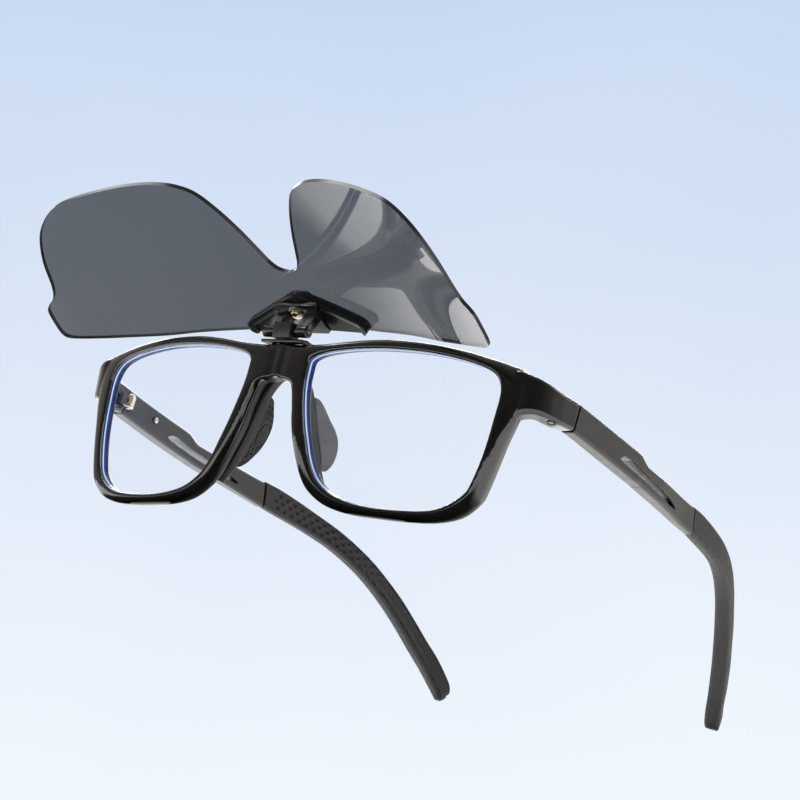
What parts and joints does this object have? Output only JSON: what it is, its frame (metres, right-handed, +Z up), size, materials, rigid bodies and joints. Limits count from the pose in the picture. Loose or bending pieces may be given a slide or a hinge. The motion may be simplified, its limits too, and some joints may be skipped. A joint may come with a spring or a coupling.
{
  "type": "flip-up clip on sunglasses",
  "caption": "Wrap spectacle frame with clear lenses and a one-piece tinted shield that flips up on a bridge hinge; both temples fold.",
  "frame": {"origin": "middle of the bounding box on the surface the glasses stand on, open, with the shield flipped up", "axes": "+Z up, -Y the way the front faces, +X to the right when looking at the front"},
  "size_m": [0.1472, 0.193, 0.0659],
  "materials": {
    "gloss_black": "piano gloss",
    "satin_grey": "satin",
    "tip_rubber": "matte soft-touch",
    "pad_rubber": "matte, dimpled",
    "saddle_black": "semi-gloss",
    "clear_lens": "clear, blue coating",
    "tinted_shield": "smoke grey tint",
    "black_plastic": "satin",
    "steel": "satin",
    "hinge_gold": "satin pale gold",
    "brass": "polished"
  },
  "bodies": {
    "front": {"front_frame": "gloss_black", "lens_right": "clear_lens", "lens_left": "clear_lens", "nose_saddle": "saddle_black", "nose_pad_right": "pad_rubber", "nose_pad_left": "pad_rubber", "front_hinge_leaf_right": "hinge_gold", "front_hinge_leaf_left": "hinge_gold", "hinge_screw_right": "steel", "hinge_screw_left": "steel", "endpiece_screw_right": "steel", "endpiece_screw_left": "steel", "clip_base": "steel", "base_rivet_right": "steel", "base_rivet_left": "steel", "detent_block": "steel", "hinge_pin": "steel"},
    "temple_right": {"temple_arm_right": "satin_grey", "temple_tip_right": "tip_rubber", "temple_hinge_leaf_right": "hinge_gold", "arm_screw_right": "steel"},
    "temple_left": {"temple_arm_left": "satin_grey", "temple_tip_left": "tip_rubber", "temple_hinge_leaf_left": "hinge_gold", "arm_screw_left": "steel"},
    "clip": {"hinge_block": "black_plastic", "chevron_plate": "black_plastic", "clip_screw": "brass", "clip_washer": "steel", "clip_nut": "black_plastic", "sun_shield": "tinted_shield"}
  },
  "joints": [
    {"name": "temple_right_fold", "type": "hinge", "parent": "front", "child": "temple_right", "pos_m": [0.0673, -0.0352, 0.0324], "axis": [0, 0, 1], "range_deg": [0, 68]},
    {"name": "temple_left_fold", "type": "hinge", "parent": "front", "child": "temple_left", "pos_m": [-0.0673, -0.0352, 0.0324], "axis": [0, 0, -1], "range_deg": [0, 80]},
    {"name": "clip_flip", "type": "hinge", "parent": "front", "child": "clip", "pos_m": [0, -0.05922, 0.04242], "axis": [1, 0, 0], "range_deg": [0, 123]}
  ]
}
